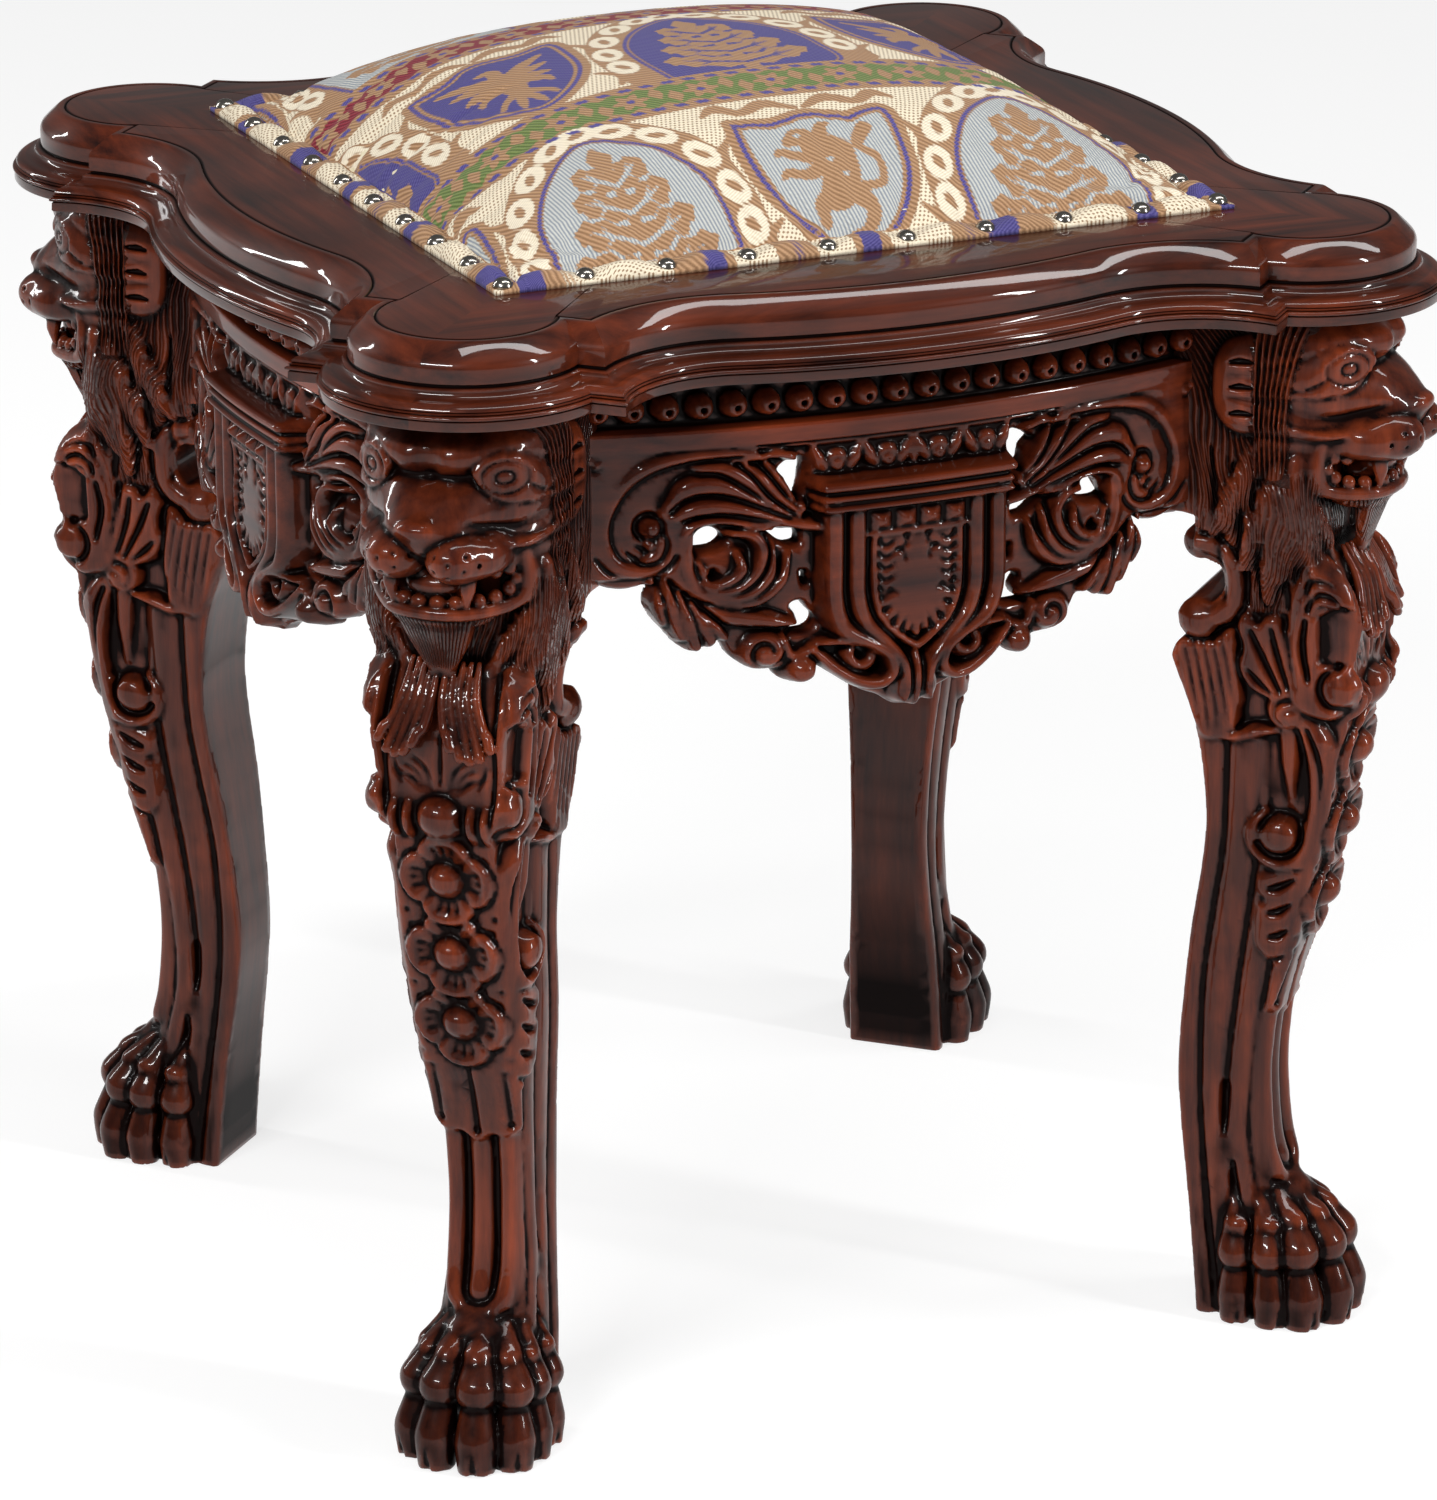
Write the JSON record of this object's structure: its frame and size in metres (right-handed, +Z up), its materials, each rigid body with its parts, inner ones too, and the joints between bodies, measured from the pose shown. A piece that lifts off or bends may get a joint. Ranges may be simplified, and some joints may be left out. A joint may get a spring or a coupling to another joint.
{
  "type": "carved stool",
  "caption": "Square gothic-style stool with lion-headed carved legs on paw feet, bowed pierced aprons, a shaped moulded top and a nailed tapestry cushion.",
  "frame": {"origin": "on the floor, under the middle of the seat", "axes": "+Z up; -Y towards the front, the wide side of the picture; +X to the right of someone who faces the front"},
  "size_m": [0.46, 0.46, 0.4959],
  "materials": {
    "carved_wood": "glossy dark red-brown lacquer over carved hardwood",
    "moulded_wood": "glossy dark red-brown lacquer over moulded hardwood",
    "plain_wood": "bare sawn wood",
    "foam": "open-cell foam",
    "tapestry": "coarse jacquard tapestry with heraldic bands",
    "nail_metal": "polished nickel",
    "screw_steel": "zinc-plated"
  },
  "bodies": {
    "root": {"leg_front_left": "carved_wood", "leg_front_right": "carved_wood", "leg_back_right": "carved_wood", "leg_back_left": "carved_wood", "apron_front": "carved_wood", "apron_right": "carved_wood", "apron_back": "carved_wood", "apron_left": "carved_wood", "top_rail_front": "moulded_wood", "top_rail_right": "moulded_wood", "top_rail_back": "moulded_wood", "top_rail_left": "moulded_wood", "corner_block_front_left": "plain_wood", "corner_block_front_right": "plain_wood", "corner_block_back_right": "plain_wood", "corner_block_back_left": "plain_wood", "mitre_tongues": "plain_wood", "seat_panel": "plain_wood", "seat_pad": "foam", "seat_cover": "tapestry", "seat_nails": "nail_metal", "block_screws": "screw_steel", "top_screws": "screw_steel"}
  },
  "joints": []
}
